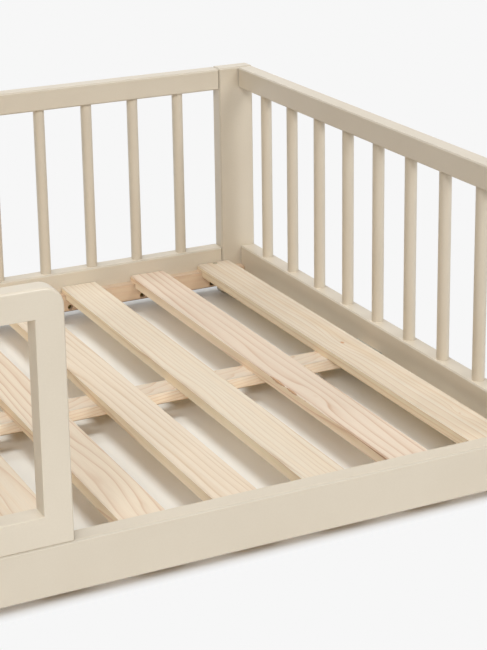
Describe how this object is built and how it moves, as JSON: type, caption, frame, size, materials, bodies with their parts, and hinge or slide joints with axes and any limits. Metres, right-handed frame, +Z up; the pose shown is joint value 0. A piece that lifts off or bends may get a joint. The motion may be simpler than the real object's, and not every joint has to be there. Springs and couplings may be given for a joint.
{
  "type": "toddler floor bed",
  "caption": "Low slatted floor bed closed on three sides by round-bar panels, with a barrier along part of the front and an open entry beside it.",
  "frame": {"origin": "on the floor, under the middle of the bed's outer box", "axes": "+X along the bed towards its right end seen from the front, +Y from the front barrier to the back panel, +Z up"},
  "size_m": [1.966, 0.971, 0.41],
  "materials": {
    "beige_paint": "satin beige paint on solid wood",
    "pine": "planed unfinished pine",
    "ledger_pine": "planed unfinished pine, pinkish brown",
    "zinc_steel": "zinc plated"
  },
  "bodies": {
    "root": {"back_bars": "beige_paint", "back_base_rail": "beige_paint", "back_cleat": "ledger_pine", "back_left_post": "beige_paint", "back_right_post": "beige_paint", "back_top_rail": "beige_paint", "barrier_bars": "beige_paint", "barrier_base_rail": "beige_paint", "barrier_free_upright": "beige_paint", "barrier_post_upright": "beige_paint", "barrier_top_rail": "beige_paint", "beam_foot": "ledger_pine", "centre_beam": "ledger_pine", "connector_screws": "zinc_steel", "front_base_rail": "beige_paint", "front_cleat": "ledger_pine", "front_left_post": "beige_paint", "front_right_post": "beige_paint", "left_bars": "beige_paint", "left_base_rail": "beige_paint", "left_beam_hanger": "zinc_steel", "left_top_rail": "beige_paint", "right_bars": "beige_paint", "right_base_rail": "beige_paint", "right_beam_hanger": "zinc_steel", "right_top_rail": "beige_paint", "slat_01": "pine", "slat_02": "pine", "slat_03": "pine", "slat_04": "pine", "slat_05": "pine", "slat_06": "pine", "slat_07": "pine", "slat_08": "pine", "slat_09": "pine", "slat_10": "pine", "slat_11": "pine", "slat_12": "pine", "slat_13": "pine", "slat_14": "pine", "slat_15": "pine"}
  },
  "joints": []
}
